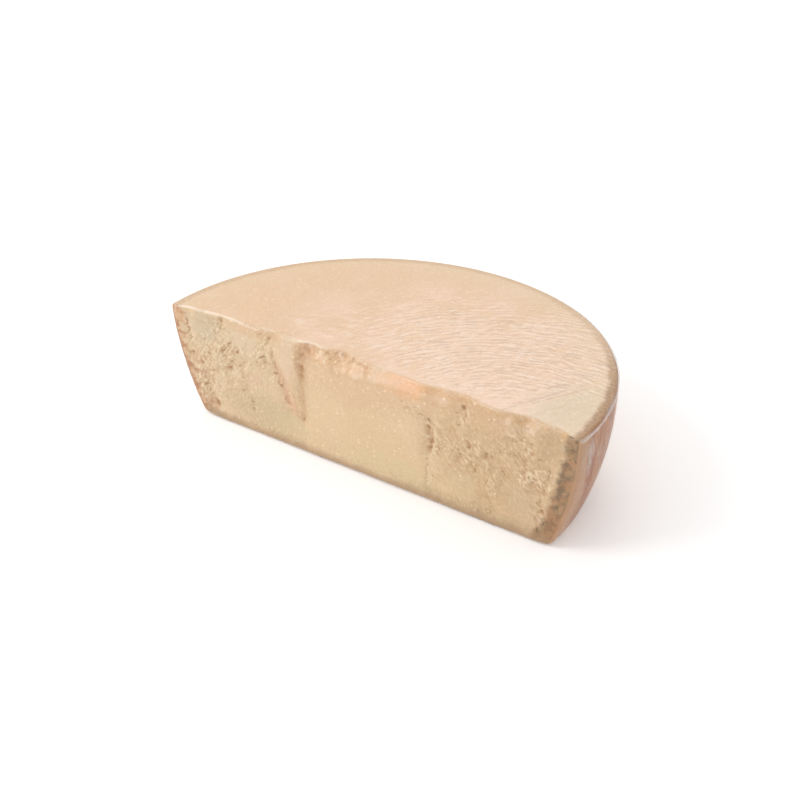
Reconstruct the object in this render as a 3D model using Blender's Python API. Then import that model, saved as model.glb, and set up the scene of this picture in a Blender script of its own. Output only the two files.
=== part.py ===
"""A quarter of a hard grating cheese wheel, sealed skin tight in clear film.

The wheel was split level through its middle and then upright, a little past its axis. The piece
stands on its natural base with the level cut on top. It is modelled round the wheel's axis and
then set on its origin, the middle of its base, with the upright cut facing -Y.
"""

import math

import bmesh
import bpy
from mathutils import Euler, Vector, noise

# Driving dimensions of the wheel, in metres.
WHEEL_RADIUS = 0.2215
PIECE_HEIGHT = 0.112
BASE_RADIUS = 0.195
CUT_PAST_AXIS = 0.013
# The wheel sagged a little to one side as it aged, so its base lies off its axis.
BASE_SHIFT = 0.0055
# The upright cut is turned a little at the base against its line at the top.
CUT_TWIST = 0.016

# Rounding of the edges.
BASE_RIM_ROUNDING = 0.006
TOP_RIM_ROUNDING = 0.0035
CUT_TOP_ROUNDING = 0.0035
CUT_BASE_ROUNDING = 0.004
CORNER_ROUNDING = 0.003

# Fineness of the surface.
EDGE_STEPS = 4
LEVEL_PITCH = 0.0040
COLUMN_PITCH = 0.0037
CORNER_POINTS = 2
RIM_SEGMENTS = 42
# Columns of the cut face stand upright up to this distance from the axis.
UPRIGHT_REACH = 0.150

# The broken upper edge: how far it lies back along the cut, by the place along it.
BROKEN_EDGE = (
    (-0.220, -0.002), (-0.200, 0.003), (-0.160, 0.006), (-0.135, 0.005), (-0.105, 0.009),
    (-0.073, 0.007), (-0.060, 0.013), (-0.045, 0.012), (-0.030, 0.015), (0.000, 0.010),
    (0.018, 0.010), (0.041, 0.009), (0.057, 0.008), (0.097, 0.011), (0.135, 0.006),
    (0.163, 0.009), (0.194, 0.007), (0.220, -0.001),
)
BREAK_REACH_DOWN = 0.016

# The smooth slab in the middle stands proud of the cheese beside it, less so near the base.
SLAB_LEFT, SLAB_RIGHT = -0.063, 0.072
LEFT_SETBACK = 0.0026
RIGHT_SETBACK = 0.0010
FACE_PROUD = 0.0013
STEP_SOFTNESS = 0.003
# The relief dies out towards the base rind and towards both ends of the cut.
CALM_HEIGHT = 0.014
CALM_END = 0.008

# A dent dies out at this many times its radius or half width.
DENT_SPREAD = 1.6
# Grooves: half width, depth, then the points along each, as places along the cut and heights.
GROOVES = (
    (0.0050, 0.0052, ((-0.069, 0.099), (-0.070, 0.070), (-0.068, 0.036))),
    (0.0035, 0.0016, ((-0.068, 0.036), (-0.065, 0.004))),
    (0.0045, 0.0036, ((-0.103, 0.106), (-0.098, 0.088), (-0.091, 0.066), (-0.079, 0.032))),
    (0.0048, 0.0044, ((0.072, 0.085), (0.075, 0.066), (0.074, 0.050))),
    (0.0035, 0.0016, ((0.073, 0.050), (0.072, 0.004))),
    (0.0045, 0.0026, ((-0.202, 0.104), (-0.200, 0.090), (-0.203, 0.077))),
    (0.0040, 0.0018, ((0.192, 0.080), (0.193, 0.062), (0.186, 0.040))),
    (0.0040, 0.0020, ((-0.186, 0.047), (-0.170, 0.051))),
    (0.0035, 0.0022, ((0.146, 0.063), (0.151, 0.055))),
)

# Pits left where a flake came away: place along the cut, height, radius and depth.
PITS = (
    (-0.164, 0.103, 0.0060, 0.0030), (-0.111, 0.101, 0.0060, 0.0028),
    (-0.061, 0.103, 0.0065, 0.0036), (-0.066, 0.086, 0.0055, 0.0026),
    (-0.182, 0.068, 0.0060, 0.0026), (-0.146, 0.079, 0.0060, 0.0026),
    (-0.176, 0.016, 0.0060, 0.0030), (-0.067, 0.033, 0.0050, 0.0024),
    (-0.128, 0.027, 0.0060, 0.0022), (0.106, 0.102, 0.0060, 0.0030),
    (0.103, 0.088, 0.0050, 0.0020), (0.133, 0.067, 0.0060, 0.0022),
    (0.167, 0.072, 0.0060, 0.0022), (0.133, 0.040, 0.0060, 0.0020),
)

# Crumbled areas: left, right, low and high limits, and the height of their lumps.
CRUMBLED = (
    (-0.198, -0.128, 0.034, 0.100, 0.0030),
    (-0.200, -0.166, 0.004, 0.082, 0.0026),
    (-0.126, -0.102, 0.066, 0.108, 0.0026),
    (-0.150, -0.118, 0.022, 0.042, 0.0022),
    (-0.062, 0.016, 0.094, 0.112, 0.0034),
    (0.048, 0.078, 0.076, 0.094, 0.0020),
    (0.076, 0.204, 0.046, 0.088, 0.0032),
    (0.098, 0.128, 0.084, 0.108, 0.0026),
    (0.152, 0.178, 0.084, 0.110, 0.0028),
    (0.122, 0.152, 0.004, 0.050, 0.0026),
    (0.074, 0.096, 0.004, 0.050, 0.0018),
    (0.184, 0.206, 0.010, 0.050, 0.0022),
)
ZONE_SOFTNESS = 0.006
LUMP_SIZE = 0.013
LUMP_LEAN = math.radians(35)
# Scales a lump's middle before its tilt is drawn, so that neighbours differ.
LUMP_SCATTER = 17.0
# How much of the height comes from a lump's tilt, its step against its neighbours and the
# valleys between lumps, and how wide those valleys are, as a share of a lump.
LUMP_SHARE = 1.5
STEP_SHARE = 0.6
VALLEY_SHARE = 0.5
VALLEY_WIDTH = 0.30
# How sharply one lump gives way to the next, and the distance below which that stays the same.
LUMP_EDGE = 5
LEAST_DISTANCE = 0.05
SWELL_SIZE = 0.045
SWELL_HEIGHT = 0.0012

# The rind at both ends of the cut is knobbly.
RIND_WIDTH = 0.017
RIND_KNOB_SIZE = 0.010
RIND_KNOB_HEIGHT = 0.0028

# Edges sharper than this are shaded sharp.
SHARP_ANGLE = math.radians(40)
CHEESE_COLOUR = (0.76, 0.55, 0.36, 1.0)
FILM_ROUGHNESS = 0.35


def smooth_step(low, high, value):
    """Rise from 0 at low to 1 at high, level at both ends."""
    part = min(max((value - low) / (high - low), 0.0), 1.0)
    return part * part * (3.0 - 2.0 * part)


def between(value, low, high, softness):
    """Give 1 between the two limits and 0 outside them, with soft ends."""
    return smooth_step(low - softness, low + softness, value) - smooth_step(
        high - softness, high + softness, value)


def rounding_inset(distance, radius):
    """Give how far a rounded edge draws in at a distance from the flat that it meets."""
    if distance >= radius:
        return 0.0
    return radius - math.sqrt(radius ** 2 - (radius - distance) ** 2)


def side_radius(height):
    """Give the wheel's radius at a height: an arc that is upright at the level cut."""
    taper = WHEEL_RADIUS - BASE_RADIUS
    arc_radius = (PIECE_HEIGHT ** 2 + taper ** 2) / (2 * taper)
    drop = PIECE_HEIGHT - height
    radius = WHEEL_RADIUS - arc_radius + math.sqrt(arc_radius ** 2 - drop ** 2)
    inset = rounding_inset(height, BASE_RIM_ROUNDING)
    inset += rounding_inset(PIECE_HEIGHT - height, TOP_RIM_ROUNDING)
    return radius - inset


def centre_shift(height):
    """Give how far the wheel's outline lies to the right of its axis at a height."""
    return BASE_SHIFT * (1 - height / PIECE_HEIGHT)


def level_heights():
    """List the heights of the outlines, closer together at the rounded edges."""
    low_steps = [BASE_RIM_ROUNDING * (1 - math.cos(math.pi / 2 * step / EDGE_STEPS))
                 for step in range(EDGE_STEPS + 1)]
    high_steps = [PIECE_HEIGHT - CUT_TOP_ROUNDING * (1 - math.cos(math.pi / 2 * step / EDGE_STEPS))
                  for step in range(EDGE_STEPS, -1, -1)]
    span = high_steps[0] - low_steps[-1]
    count = round(span / LEVEL_PITCH)
    middle = [low_steps[-1] + span * step / count for step in range(1, count)]
    return low_steps + middle + high_steps


def broken_edge_depth(place):
    """Read the broken edge's depth at a place along the cut, smoothly between its points."""
    for (place_a, depth_a), (place_b, depth_b) in zip(BROKEN_EDGE, BROKEN_EDGE[1:]):
        if place <= place_b:
            return depth_a + (depth_b - depth_a) * smooth_step(place_a, place_b, place)
    return BROKEN_EDGE[-1][1]


def distance_to_path(point, path):
    """Give a point's distance to a path of straight stretches."""
    nearest = math.inf
    for start, end in zip(path, path[1:]):
        start, end = Vector(start), Vector(end)
        along = (end - start).dot(point - start) / (end - start).length_squared
        foot = start.lerp(end, min(max(along, 0.0), 1.0))
        nearest = min(nearest, (point - foot).length)
    return nearest


def dent(distance, radius, depth):
    """Give the depth of a round-bottomed dent at a distance from its middle."""
    return depth * (1 - smooth_step(0.0, DENT_SPREAD * radius, distance))


def crumble(place, height):
    """Give the height of the tilted lumps of broken cheese, from about -1 to 1."""
    turned = Vector((place, 0.0, height)) / LUMP_SIZE
    turned.rotate(Euler((0.0, LUMP_LEAN, 0.0)))
    distances, centres = noise.voronoi(turned)
    total, weights = 0.0, 0.0
    for distance, centre in zip(distances, centres):
        tilt = 2 * noise.cell_vector(centre * LUMP_SCATTER) - Vector((1.0, 1.0, 1.0))
        offset = turned - centre
        weight = max(distance, LEAST_DISTANCE) ** -LUMP_EDGE
        total += weight * (tilt.x * offset.x + tilt.z * offset.z + STEP_SHARE * tilt.y)
        weights += weight
    valley = smooth_step(0.0, VALLEY_WIDTH, distances[1] - distances[0]) - 1.0
    return LUMP_SHARE * total / weights + VALLEY_SHARE * valley


def crumbled_height(place, height):
    """Give the height of the lumps that the crumbled areas call for at a point."""
    amount = 0.0
    for left, right, low, high, lump_height in CRUMBLED:
        share = between(place, left, right, ZONE_SOFTNESS)
        share *= between(height, low, high, ZONE_SOFTNESS)
        amount = max(amount, share * lump_height)
    return amount


def cut_relief(place, height, from_end):
    """Give how far the broken surface lies in front of the plain cut at a point.

    from_end is the point's distance to the nearer end of the cut.
    """
    point = Vector((place, height))
    relief = SWELL_HEIGHT * noise.noise(Vector((place, 0.0, height)) / SWELL_SIZE)
    relief -= LEFT_SETBACK * smooth_step(STEP_SOFTNESS, -STEP_SOFTNESS, place - SLAB_LEFT)
    relief -= RIGHT_SETBACK * smooth_step(-STEP_SOFTNESS, STEP_SOFTNESS, place - SLAB_RIGHT)
    relief += crumbled_height(place, height) * crumble(place, height)
    for half_width, depth, path in GROOVES:
        relief -= dent(distance_to_path(point, path), half_width, depth)
    for pit_place, pit_height, radius, depth in PITS:
        relief -= dent((point - Vector((pit_place, pit_height))).length, radius, depth)
    broken = smooth_step(PIECE_HEIGHT - BREAK_REACH_DOWN, PIECE_HEIGHT, height)
    relief -= broken_edge_depth(place) * broken
    knobs = noise.noise(Vector((place, 0.0, height)) / RIND_KNOB_SIZE)
    rind = 1 - smooth_step(RIND_WIDTH / 2, RIND_WIDTH, from_end)
    relief += RIND_KNOB_HEIGHT * knobs * rind
    relief *= smooth_step(0.0, CALM_HEIGHT, height)
    return (FACE_PROUD + relief) * smooth_step(0.0, CALM_END, from_end)


def column_place(share, left_end, right_end):
    """Give a column's place along the cut: upright in the middle, closing in near the ends."""
    place = (2 * share - 1) * WHEEL_RADIUS
    past = abs(place) - UPRIGHT_REACH
    if past <= 0:
        return place
    end = right_end if place > 0 else -left_end
    closed_in = UPRIGHT_REACH + past * (end - UPRIGHT_REACH) / (WHEEL_RADIUS - UPRIGHT_REACH)
    return math.copysign(closed_in, place)


def rounded_corner(start, corner, end):
    """Give the points of a rounded corner, without its two ends."""
    points = []
    for step in range(1, CORNER_POINTS + 1):
        part = step / (CORNER_POINTS + 1)
        points.append(start.lerp(corner, part).lerp(corner.lerp(end, part), part))
    return points


def outline_at(height):
    """Give one level outline of the piece: along the cut, then back round the rim."""
    radius = side_radius(height)
    shift = centre_shift(height)
    cut_inset = rounding_inset(height, CUT_BASE_ROUNDING)
    cut_inset += rounding_inset(PIECE_HEIGHT - height, CUT_TOP_ROUNDING)

    def cut_line(place):
        return cut_inset - CUT_PAST_AXIS - CUT_TWIST * place * (1 - height / PIECE_HEIGHT)

    right_end = shift + math.sqrt(radius ** 2 - cut_line(radius) ** 2)
    left_end = shift - math.sqrt(radius ** 2 - cut_line(-radius) ** 2)
    first, last = left_end + CORNER_ROUNDING, right_end - CORNER_ROUNDING
    columns = round(2 * WHEEL_RADIUS / COLUMN_PITCH)
    points = []
    for column in range(columns + 1):
        place = column_place(column / columns, first, last)
        relief = cut_relief(place, height, min(place - first, last - place))
        points.append(Vector((place, cut_line(place) - relief, height)))

    right_corner = Vector((right_end, cut_line(right_end), height))
    left_corner = Vector((left_end, cut_line(left_end), height))
    start_angle = math.atan2(right_corner.y, right_end - shift) + CORNER_ROUNDING / radius
    end_angle = math.atan2(left_corner.y, left_end - shift) % math.tau - CORNER_ROUNDING / radius
    rim = []
    for segment in range(RIM_SEGMENTS + 1):
        angle = start_angle + (end_angle - start_angle) * segment / RIM_SEGMENTS
        rim.append(Vector((shift + radius * math.cos(angle), radius * math.sin(angle), height)))
    points += rounded_corner(points[-1], right_corner, rim[0]) + rim
    points += rounded_corner(rim[-1], left_corner, points[0])
    return points


def build_piece():
    """Wrap a grid round the piece, join its seam and close its base and its top."""
    heights = level_heights()
    outlines = [outline_at(height) for height in heights]
    around = len(outlines[0])
    mesh_data = bmesh.new()
    bmesh.ops.create_grid(mesh_data, x_segments=around, y_segments=len(heights) - 1, size=1.0)
    mesh_data.verts.ensure_lookup_table()
    for level, outline in enumerate(outlines):
        for step in range(around + 1):
            mesh_data.verts[level * (around + 1) + step].co = outline[step % around]
    bmesh.ops.remove_doubles(mesh_data, verts=mesh_data.verts, dist=0.00005)
    rims = [edge for edge in mesh_data.edges if edge.is_boundary]
    caps = bmesh.ops.holes_fill(mesh_data, edges=rims, sides=0)["faces"]
    bmesh.ops.triangulate(mesh_data, faces=caps, ngon_method="BEAUTY")
    bmesh.ops.recalc_face_normals(mesh_data, faces=mesh_data.faces)
    xs = [vertex.co.x for vertex in mesh_data.verts]
    ys = [vertex.co.y for vertex in mesh_data.verts]
    middle = Vector((min(xs) + max(xs), min(ys) + max(ys), 0.0)) / 2
    bmesh.ops.translate(mesh_data, vec=-middle, verts=mesh_data.verts)
    return mesh_data


def film_wrapped_cheese_material():
    """Make the plain material of the piece: pale cheese under clear film."""
    material = bpy.data.materials.new("wrapped_cheese")
    material.use_nodes = True
    shader = material.node_tree.nodes["Principled BSDF"]
    shader.inputs["Base Color"].default_value = CHEESE_COLOUR
    shader.inputs["Roughness"].default_value = FILM_ROUGHNESS
    shader.inputs["Metallic"].default_value = 0.0
    return material


def add_wrapped_cheese():
    """Add the wrapped piece to the scene."""
    mesh_data = build_piece()
    mesh = bpy.data.meshes.new("wrapped_cheese")
    mesh_data.to_mesh(mesh)
    mesh_data.free()
    mesh.shade_smooth()
    mesh.set_sharp_from_angle(angle=SHARP_ANGLE)
    mesh.materials.append(film_wrapped_cheese_material())
    piece = bpy.data.objects.new("wrapped_cheese", mesh)
    bpy.context.scene.collection.objects.link(piece)


def main():
    """Clear the scene and model the piece."""
    for thing in list(bpy.data.objects):
        bpy.data.objects.remove(thing)
    add_wrapped_cheese()


main()
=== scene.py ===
import math

import bpy
import numpy as np
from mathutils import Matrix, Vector, noise


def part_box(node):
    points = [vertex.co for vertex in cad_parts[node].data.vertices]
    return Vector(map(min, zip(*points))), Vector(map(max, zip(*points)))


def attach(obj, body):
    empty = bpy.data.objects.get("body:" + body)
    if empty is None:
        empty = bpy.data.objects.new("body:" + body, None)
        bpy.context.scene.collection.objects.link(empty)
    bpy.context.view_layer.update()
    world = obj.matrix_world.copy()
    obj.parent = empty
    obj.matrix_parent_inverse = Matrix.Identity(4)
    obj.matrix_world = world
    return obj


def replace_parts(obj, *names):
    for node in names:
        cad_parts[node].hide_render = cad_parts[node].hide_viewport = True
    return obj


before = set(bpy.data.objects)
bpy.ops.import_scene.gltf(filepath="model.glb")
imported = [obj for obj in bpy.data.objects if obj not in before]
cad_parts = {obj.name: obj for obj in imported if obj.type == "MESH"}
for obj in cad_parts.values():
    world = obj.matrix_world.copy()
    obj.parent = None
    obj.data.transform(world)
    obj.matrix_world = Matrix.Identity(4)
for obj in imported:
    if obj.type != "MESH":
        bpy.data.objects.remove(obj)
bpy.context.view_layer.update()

bl_info = {
    "name": "Film-wrapped quarter cheese wheel",
    "version": (1, 0, 0),
    "blender": (4, 5, 0),
    "location": "3D Viewport > Sidebar > Cheese",
    "description": "Models a quarter wheel of hard grating cheese, sealed tight in clear film",
    "category": "Object",
}

# The solid of the sealed piece, and what follows from its box. All lengths are in metres.
SEALED = "wrapped_cheese"
LOW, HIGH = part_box(SEALED)
RIM_RADIUS = (HIGH.x - LOW.x) / 2
HEIGHT = HIGH.z
AXIS = Vector((0.0, HIGH.y - RIM_RADIUS, 0.0))
BASE_TAPER = 0.0265
BASE_SHIFT = 0.0055
# How much brighter than its colour the studio shows the upright cut.
CUT_LIGHT = 1.12
# Points closer than this are one point, and lie level with each other.
SAME_PLACE = 0.00001
# Two triangles that differ less than this are joined to a four-sided face.
QUAD_ANGLE = math.radians(60)
# The flats of the base and the level cut are the faces with more corners than this. Each gets
# two narrow rings of faces, so that its shading stays level up to its edge.
FLAT_CORNERS = 50
FLAT_RING = 0.0005
# Flakes lean up to the right on the left part of the cut, and down to the right on the other.
FLAKE_LEAN = math.radians(48)
FLAKE_STRETCH = 0.45
# Each flake is a plane: how steep it is, and how far one stands above the next. Flakes count by
# a power of their distance, which keeps the border between two sharp.
FLAKE_TILT = 1.4
FLAKE_STEP = 0.5
FLAKE_POWER = -8
# Rounds of evening out: for the cut without relief, and to find fine and broad hollows.
PLAIN_ROUNDS = 160
FINE_ROUNDS = 14
BROAD_ROUNDS = 80
# What the film mirrors straight on and what it adds at a slant, and how much it clouds at least.
MIRROR_STRAIGHT = 0.035
MIRROR_SLANT = 0.32
LEAST_HAZE = 0.02
# The floor: its size, how far it lies below the piece, and its own glow.
FLOOR_SIZE = 24.0
FLOOR_GAP = 0.0005
FLOOR_GLOW = 0.16
# Each lamp's size and place.
KEY_LAMP = (0.8, (-0.85, -0.95, 1.15))
BACK_LAMP = (0.7, (-0.45, 1.00, 1.25))
# Where the camera looks, from the wheel's axis.
CAMERA_TARGET = Vector((0.0083, 0.0395, 0.0553))
# The film's fold on the side: how far under the level cut, and how high it stands.
FOLD_DROP = 0.0026
FOLD_HEIGHT = 0.0006

# The tables below list marks on the upright cut in millimetres: place along the cut from the
# wheel's axis, height over the base, half length, half width, turn in degrees and strength.
CRUMBLED = (
    (-163, 68, 40, 34, 0, 1.0), (-186, 34, 20, 34, 0, 0.9), (-164, 100, 12, 12, 0, 0.9),
    (-113, 88, 13, 24, 0, 0.9), (-134, 33, 22, 13, -20, 0.6), (-94, 66, 14, 7, -40, 0.7),
    (-68, 90, 8, 20, 0, 0.8), (-84, 48, 9, 16, 0, 0.5), (-24, 107, 42, 10, 0, 1.0),
    (60, 86, 16, 9, 0, 0.6), (80, 66, 14, 26, 0, 1.0), (116, 62, 44, 24, 0, 0.9),
    (106, 96, 12, 16, 0, 0.9), (166, 84, 16, 28, 10, 1.0), (180, 60, 26, 22, 0, 1.0),
    (136, 28, 15, 30, 0, 0.8), (84, 22, 12, 26, 0, 0.45), (188, 30, 12, 26, 0, 0.9),
    (138, 66, 62, 40, 0, 0.6), (-166, 60, 56, 50, 0, 0.6), (-100, 9, 80, 8, 0, 0.4),
    (20, 10, 80, 8, 0, 0.4), (120, 9, 60, 8, 0, 0.5),
)
HOLLOWS = (
    (-204, 92, 13, 2.0, 86, 1.3), (-206, 104, 3.5, 2.2, 120, 0.8), (-202, 79, 4.5, 3.0, 90, 0.9),
    (-194, 79, 5.0, 1.1, 130, 0.8), (-200, 63, 3.8, 2.6, 0, 1.4), (-196, 45, 6.0, 1.8, 8, 0.8),
    (-190, 56, 2.6, 2.0, 60, 1.0), (-192, 26, 5.0, 2.2, 110, 0.9), (-186, 32, 4.0, 2.2, 60, 1.0),
    (-182, 27, 2.6, 1.3, 70, 0.8), (-174, 15, 3.8, 2.8, 20, 1.6), (-172, 23, 2.6, 1.2, 30, 0.7),
    (-183, 13, 3.0, 2.0, 0, 0.6), (-165, 106, 3.6, 1.7, 25, 1.6), (-169, 97, 7.0, 2.0, 70, 0.8),
    (-168, 88, 2.6, 2.2, 0, 0.8), (-161, 94, 5.5, 1.0, 35, 0.7), (-163, 99, 4.5, 0.9, 35, 0.6),
    (-152, 88, 4.4, 2.4, 0, 1.3), (-154, 83, 3.6, 1.4, 70, 0.6), (-145, 78, 2.8, 2.0, 30, 1.1),
    (-179, 69, 4.4, 3.4, 20, 1.1), (-170, 75, 2.2, 2.0, 0, 0.6), (-153, 67, 3.2, 1.4, 80, 0.7),
    (-141, 66, 2.2, 1.8, 0, 1.2), (-137, 55, 3.4, 2.2, 0, 0.7), (-125, 57, 4.4, 2.0, 20, 0.6),
    (-178, 48.5, 8.5, 1.2, 14, 0.8), (-158, 42, 3.2, 1.4, 70, 0.7), (-167, 34, 3.8, 1.6, 80, 1.0),
    (-139, 41, 5.5, 2.0, 0, 0.9), (-130, 34, 7.5, 1.6, -22, 0.9), (-127, 25, 3.2, 2.0, 0, 0.9),
    (-141, 24, 3.6, 1.8, 0, 0.6), (-117, 107, 2.8, 1.2, 25, 1.0), (-108, 104, 2.4, 1.7, 20, 1.2),
    (-113, 85, 6.5, 1.5, 25, 1.3), (-109, 79, 4.5, 2.0, 15, 0.9), (-120, 77, 3.4, 2.2, 30, 0.8),
    (-113, 73, 5.5, 1.1, 20, 0.7), (-102, 91, 8.0, 2.2, 106, 0.9), (-98, 80, 6.0, 2.4, 112, 1.0),
    (-99, 71, 6.5, 1.6, 0, 1.0), (-93, 63, 6.0, 2.2, 118, 0.9), (-86, 47, 7.0, 2.4, 112, 0.7),
    (-62, 105, 5.0, 2.4, 0, 0.9), (-67, 95, 5.5, 1.6, 0, 1.0), (-68, 87, 4.5, 2.0, 10, 1.4),
    (-57, 99, 1.8, 1.0, 0, 0.8), (-68, 78, 12, 4.0, 90, 0.5), (-66, 56, 14, 3.2, 88, 0.35),
    (-67, 33, 3.2, 2.6, 60, 1.1), (-64, 16, 12, 0.9, 92, 0.7), (-27, 104, 3.0, 1.6, 90, 1.0),
    (-14, 109, 2.4, 1.4, 70, 1.0), (-36, 101, 3.0, 1.0, 20, 0.6), (47, 92, 2.8, 1.2, 15, 1.0),
    (60, 90, 5.5, 0.8, 22, 0.8), (52, 87, 3.0, 0.7, 20, 0.6), (66, 84, 4.0, 0.8, -15, 0.8),
    (73, 81, 2.4, 1.4, -50, 1.6), (73, 72, 7.0, 2.6, 86, 0.9), (77, 60, 3.2, 2.6, 60, 1.6),
    (75, 54, 4.0, 2.0, 70, 1.5), (83, 66, 3.4, 1.6, 70, 0.8), (72, 28, 22, 0.9, 90, 0.8),
    (71, 42, 3.0, 1.8, 0, 0.8), (105, 102, 3.8, 2.8, 90, 1.4), (100, 96, 2.6, 1.4, 0, 1.0),
    (104, 86, 3.0, 1.2, 35, 1.2), (120, 87, 4.0, 2.0, 80, 0.6), (114, 68, 2.6, 1.2, 90, 0.9),
    (118, 62, 3.6, 2.0, -40, 0.8), (133, 67, 2.4, 1.8, 0, 1.1), (138, 65, 2.0, 1.4, 0, 0.9),
    (146, 75, 2.6, 1.4, 60, 1.1), (148, 55, 3.8, 1.6, -60, 1.5), (120, 45, 3.6, 1.6, 20, 0.7),
    (156, 89, 3.2, 2.0, -30, 1.0), (168, 104, 3.4, 2.0, 40, 1.1), (175, 92, 4.0, 1.4, 15, 1.2),
    (170, 86, 4.5, 1.1, -50, 0.9), (176, 82, 4.5, 1.3, -45, 1.0), (155, 75, 2.8, 1.8, 0, 0.8),
    (170, 74, 3.0, 1.4, 40, 0.9), (170, 60, 6.0, 1.6, -50, 0.9), (184, 79, 5.5, 0.8, 18, 1.1),
    (193, 70, 7.0, 1.1, 96, 1.1), (182, 72, 4.0, 1.2, 80, 0.8), (181, 60, 3.4, 1.4, 30, 0.8),
    (97, 44, 4.0, 2.0, 20, 0.7), (134, 42, 3.4, 1.8, 60, 1.0), (134, 24, 4.0, 1.6, 84, 0.7),
    (139, 12, 4.0, 2.2, 20, 0.8), (178, 46, 3.0, 1.6, 0, 0.8), (186, 40, 3.6, 1.6, 70, 0.9),
    (189, 31, 4.5, 2.0, 84, 1.0), (199, 24, 5.5, 3.4, 80, 1.2), (204, 42, 3.2, 2.4, 40, 1.2),
    (205, 62, 5.5, 2.0, 30, 1.3), (213, 98, 5.0, 3.4, 30, 1.1), (207, 77, 5.0, 2.4, 90, 0.9),
    (188, 7, 4.4, 2.6, 60, 1.2), (210, 88, 4.0, 2.0, 60, 0.8), (-28, 17, 4.0, 2.0, 60, 0.5),
)
FLAKES = (
    (-160, 102, 3.4, 1.6, 25, 1.0), (-184, 87, 2.0, 1.8, 0, 1.0), (-190, 81, 4.5, 1.2, 40, 0.8),
    (-181, 80, 3.4, 2.0, 80, 0.8), (-188, 66, 4.0, 1.6, 70, 0.8), (-195, 50, 3.4, 2.4, 0, 0.6),
    (-154, 97, 1.6, 1.4, 0, 0.8), (-134, 91, 2.0, 1.8, 0, 0.5), (-138, 73, 5.0, 1.6, 50, 0.7),
    (-131, 69, 4.5, 1.4, 50, 0.7), (-107, 92, 9.0, 1.1, 96, 0.8), (-121, 95, 9.0, 1.2, 88, 0.7),
    (-150, 55, 7.0, 2.6, 40, 0.6), (-172, 60, 6.0, 2.4, 50, 0.6), (-60, 58, 17, 1.5, 90, 0.9),
    (-76, 76, 4.0, 2.0, 60, 0.8), (-80, 51, 4.0, 2.4, 90, 0.7), (-74, 59, 3.0, 1.6, 80, 0.8),
    (9, 101, 6.5, 1.6, 52, 0.7), (-40, 106, 3.6, 2.0, 40, 0.6), (-33, 108, 3.4, 2.0, 10, 0.6),
    (-10, 104, 4.0, 3.0, 60, 0.6), (4, 105, 3.4, 1.8, 30, 0.5),
    (73, 77, 1.7, 1.6, 0, 1.4), (70, 85, 4.0, 1.2, 20, 0.8), (81, 72, 3.0, 1.6, 60, 0.8),
    (86, 60, 5.0, 3.0, 60, 0.7), (78, 44, 6.0, 2.6, 100, 0.8), (91, 68, 6.0, 3.0, 20, 0.5),
    (117, 97, 2.2, 1.2, 80, 1.1), (125, 76, 1.6, 1.4, 0, 1.0), (158, 95, 4.0, 1.8, 20, 0.9),
    (178, 79, 3.6, 1.6, 20, 0.8), (195, 83, 2.6, 1.6, 80, 0.8), (195, 70, 7.0, 1.6, 90, 0.7),
    (142, 52, 6.0, 1.8, 86, 0.7), (150, 82, 5.0, 1.8, 60, 0.5), (110, 52, 6.0, 2.6, 10, 0.6),
    (206, 77, 2.2, 1.6, 80, 0.9), (188, 62, 5.0, 2.0, 60, 0.6), (166, 79, 4.0, 1.6, 60, 0.7),
)
# Soft patches of colour on the cut: the same, then the colour as seen, from 0 to 255. Those in
# the channel left of the slab, the notch at the slab's top, the slanted groove and the crack right
# of the slab are partly browner cheese and partly painted shade.
PATCHES = (
    (146, 60, 74, 60, 0, 0.85, (208, 170, 126)), (-160, 60, 84, 60, 0, 0.55, (212, 187, 150)),
    (-184, 96, 18, 16, 0, 0.8, (200, 179, 146)), (-136, 100, 17, 15, 0, 0.6, (221, 196, 163)),
    (-116, 25, 44, 20, 0, 0.75, (203, 179, 138)), (-86, 92, 10, 24, 0, 0.6, (225, 194, 166)),
    (-212, 102, 5, 8, 0, 0.7, (205, 150, 104)), (-198, 60, 8, 8, 0, 0.5, (203, 152, 116)),
    (-195, 44, 9, 5, 0, 0.5, (198, 146, 112)), (-183, 12, 9, 8, 0, 0.5, (200, 150, 118)),
    (-125, 58, 10, 8, 0, 0.4, (224, 180, 150)), (-85, 46, 6, 14, 20, 0.6, (228, 178, 146)),
    (-64, 104, 12, 9, 0, 0.7, (208, 152, 120)),
    (-68, 90, 10, 18, 0, 0.85, (192, 148, 106)), (-68, 54, 8, 30, 0, 0.5, (190, 148, 104)),
    (-125, 106, 34, 5, 0, 0.6, (224, 180, 140)), (-88, 58, 7, 30, 25, 0.55, (212, 160, 124)),
    (-114, 80, 9, 8, 0, 0.5, (200, 172, 130)), (42, 103, 28, 9, 0, 0.95, (244, 180, 126)),
    (0, 90, 64, 24, 0, 0.7, (222, 182, 144)), (-24, 105, 40, 7, 0, 0.8, (230, 180, 132)),
    (72, 98, 10, 12, 0, 0.5, (216, 172, 134)),
    (110, 100, 40, 12, 0, 0.6, (220, 176, 134)), (144, 98, 12, 9, 0, 0.5, (220, 178, 142)),
    (192, 97, 16, 16, 0, 0.9, (197, 162, 119)), (166, 33, 17, 19, 0, 0.7, (211, 182, 142)),
    (106, 28, 17, 15, 0, 0.6, (215, 192, 148)), (20, 18, 70, 16, 0, 0.6, (218, 197, 152)),
    (-78, 20, 26, 14, 0, 0.5, (216, 195, 150)), (73, 66, 4, 16, 0, 0.6, (196, 158, 116)),
    (212, 100, 7, 16, 0, 0.6, (158, 134, 98)), (206, 70, 7, 14, 0, 0.6, (160, 136, 98)),
    (203, 46, 5, 8, 0, 0.6, (172, 152, 116)), (198, 24, 7, 11, 0, 0.8, (172, 116, 80)),
    (198, 37, 6, 5, 0, 0.6, (180, 156, 132)), (189, 7, 9, 6, 0, 0.8, (160, 134, 84)),
    (124, 9, 76, 8, 0, 0.6, (190, 164, 120)), (-172, 5, 8, 4, 0, 0.7, (168, 152, 112)),
)
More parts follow.
